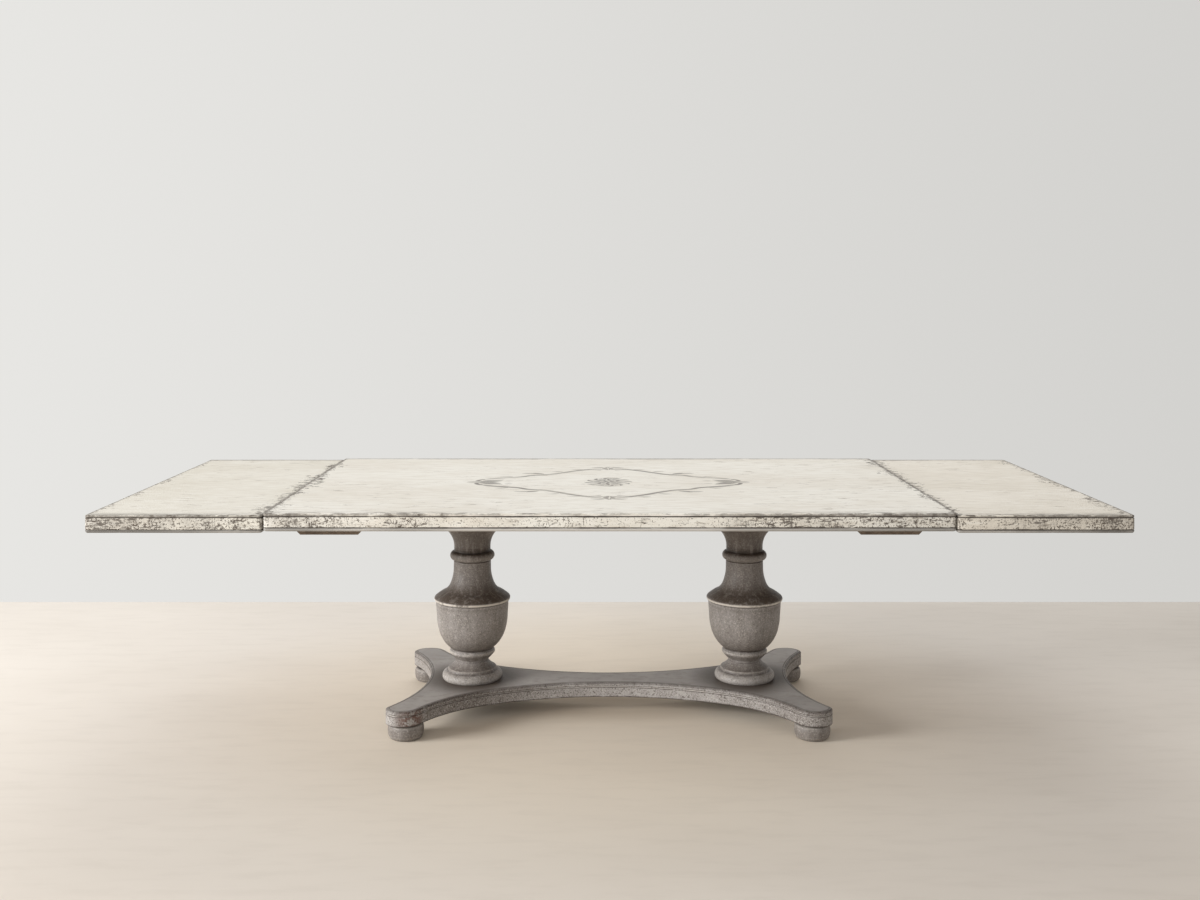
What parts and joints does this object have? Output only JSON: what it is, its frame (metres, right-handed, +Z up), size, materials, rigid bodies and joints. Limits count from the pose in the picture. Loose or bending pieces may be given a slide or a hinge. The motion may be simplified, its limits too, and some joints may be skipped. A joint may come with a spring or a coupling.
{
  "type": "pedestal dining table",
  "caption": "Long dining table on two turned urn pedestals and one hollow-sided plinth, with a leaf at each end held by pull-out runners.",
  "frame": {"origin": "on the floor, under the middle of the top", "axes": "+X along the table, +Y across it towards the back, +Z up"},
  "size_m": [3.076, 1.219, 0.762],
  "materials": {
    "antique_white_paint": "worn matte paint with dark wear along the edges",
    "taupe_paint": "worn satin paint",
    "stained_wood": "thin brown stain",
    "runner_hardwood": "waxed bare hardwood",
    "zinc_steel": "zinc plate"
  },
  "bodies": {
    "table_frame": {"main_top": "antique_white_paint", "spine_rail": "stained_wood", "base_plinth": "taupe_paint", "wear_strips": "runner_hardwood", "tie_rod_washers": "zinc_steel", "tie_rod_nuts": "zinc_steel", "foot_bolts": "zinc_steel", "bearer_screws": "zinc_steel", "end_bearer_screws": "zinc_steel", "spine_rail_screws": "zinc_steel", "cap_plate_screws": "zinc_steel", "wear_strip_screws": "zinc_steel", "end_bearer_left": "stained_wood", "pedestal_bearer_left": "stained_wood", "cap_plate_left": "taupe_paint", "capital_left": "taupe_paint", "urn_neck_left": "taupe_paint", "urn_lid_left": "taupe_paint", "urn_bowl_left": "taupe_paint", "base_turning_left": "taupe_paint", "tie_rod_left": "zinc_steel", "end_bearer_right": "stained_wood", "pedestal_bearer_right": "stained_wood", "cap_plate_right": "taupe_paint", "capital_right": "taupe_paint", "urn_neck_right": "taupe_paint", "urn_lid_right": "taupe_paint", "urn_bowl_right": "taupe_paint", "base_turning_right": "taupe_paint", "tie_rod_right": "zinc_steel", "foot_left_front": "taupe_paint", "foot_left_back": "taupe_paint", "foot_right_front": "taupe_paint", "foot_right_back": "taupe_paint"},
    "left_leaf": {"leaf_left": "antique_white_paint", "leaf_battens_left": "runner_hardwood", "leaf_dowels_left": "runner_hardwood", "leaf_batten_screws_left": "zinc_steel"},
    "right_leaf": {"leaf_right": "antique_white_paint", "leaf_battens_right": "runner_hardwood", "leaf_dowels_right": "runner_hardwood", "leaf_batten_screws_right": "zinc_steel"},
    "left_front_runner": {"runner_left_front": "runner_hardwood", "stop_peg_left_front": "runner_hardwood", "pull_block_left_front": "runner_hardwood", "pull_block_screws_left_front": "zinc_steel"},
    "left_back_runner": {"runner_left_back": "runner_hardwood", "stop_peg_left_back": "runner_hardwood", "pull_block_left_back": "runner_hardwood", "pull_block_screws_left_back": "zinc_steel"},
    "right_front_runner": {"runner_right_front": "runner_hardwood", "stop_peg_right_front": "runner_hardwood", "pull_block_right_front": "runner_hardwood", "pull_block_screws_right_front": "zinc_steel"},
    "right_back_runner": {"runner_right_back": "runner_hardwood", "stop_peg_right_back": "runner_hardwood", "pull_block_right_back": "runner_hardwood", "pull_block_screws_right_back": "zinc_steel"}
  },
  "joints": [
    {"name": "left_leaf_draw", "type": "slide", "parent": "table_frame", "child": "left_leaf", "axis": [-1, 0, 0], "range_m": [0, 0.12]},
    {"name": "right_leaf_draw", "type": "slide", "parent": "table_frame", "child": "right_leaf", "axis": [1, 0, 0], "range_m": [0, 0.12]},
    {"name": "left_front_runner_slide", "type": "slide", "parent": "table_frame", "child": "left_front_runner", "axis": [-1, 0, 0], "range_m": [-0.392, 0]},
    {"name": "left_back_runner_slide", "type": "slide", "parent": "table_frame", "child": "left_back_runner", "axis": [-1, 0, 0], "range_m": [-0.392, 0]},
    {"name": "right_front_runner_slide", "type": "slide", "parent": "table_frame", "child": "right_front_runner", "axis": [1, 0, 0], "range_m": [-0.392, 0]},
    {"name": "right_back_runner_slide", "type": "slide", "parent": "table_frame", "child": "right_back_runner", "axis": [1, 0, 0], "range_m": [-0.392, 0]}
  ]
}
